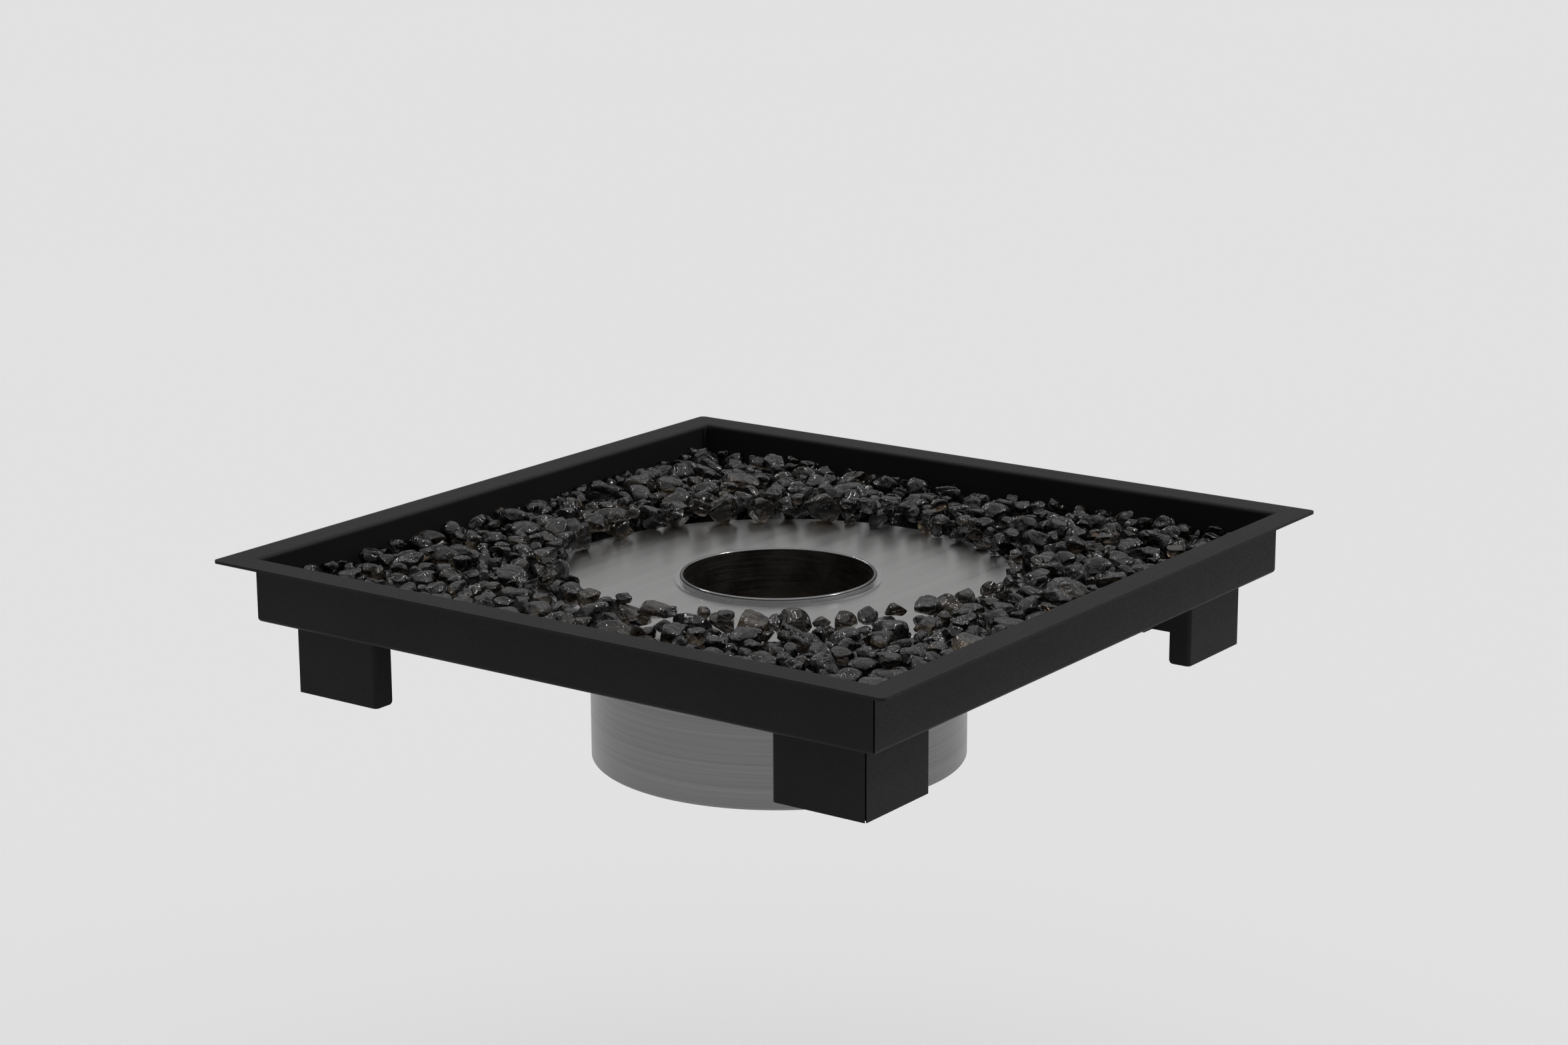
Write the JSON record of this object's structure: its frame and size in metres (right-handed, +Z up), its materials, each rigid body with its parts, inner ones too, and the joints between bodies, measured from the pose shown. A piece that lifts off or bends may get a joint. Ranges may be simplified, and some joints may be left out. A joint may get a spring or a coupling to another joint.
{
  "type": "fire pit",
  "caption": "Square black drop-in fire pit tray on folded legs, filled with black glass stones round a lift-out round steel ethanol burner.",
  "frame": {"origin": "centre of the cut-out, level with the surface that the flange rests on, on the burner's axis", "axes": "+Z up, the way the burner lifts out; -Y is the front; the walls run along X and Y"},
  "size_m": [0.56, 0.56, 0.1592],
  "materials": {
    "powder_coat": "satin",
    "rivet_steel": "satin",
    "black_glass": "gloss",
    "brushed_plate": "satin",
    "polished_ring": "polished",
    "heated_steel": "satin",
    "brushed_drum": "satin",
    "plain_steel": "satin",
    "ceramic_fibre": "matte"
  },
  "bodies": {
    "tray": {"tray_shell": "powder_coat", "leg_front_left": "powder_coat", "leg_front_right": "powder_coat", "leg_back_left": "powder_coat", "leg_back_right": "powder_coat", "leg_rivets": "rivet_steel", "glass_bed": "black_glass", "stones_right": "black_glass", "stones_back": "black_glass", "stones_left": "black_glass", "stones_front": "black_glass"},
    "burner": {"top_plate": "brushed_plate", "mouth_ring": "polished_ring", "throat": "heated_steel", "drum_shell": "brushed_drum", "drum_base": "plain_steel", "fuel_tank": "plain_steel", "tank_standoffs": "plain_steel", "base_screws": "plain_steel", "fibre_ring": "ceramic_fibre", "fibre_disc": "ceramic_fibre", "baffle_plate": "heated_steel", "fill_tab": "heated_steel", "rim_stones": "black_glass"}
  },
  "joints": [
    {"name": "burner_lift", "type": "slide", "parent": "tray", "child": "burner", "axis": [0, 0, 1], "range_m": [0, 0.165]}
  ]
}
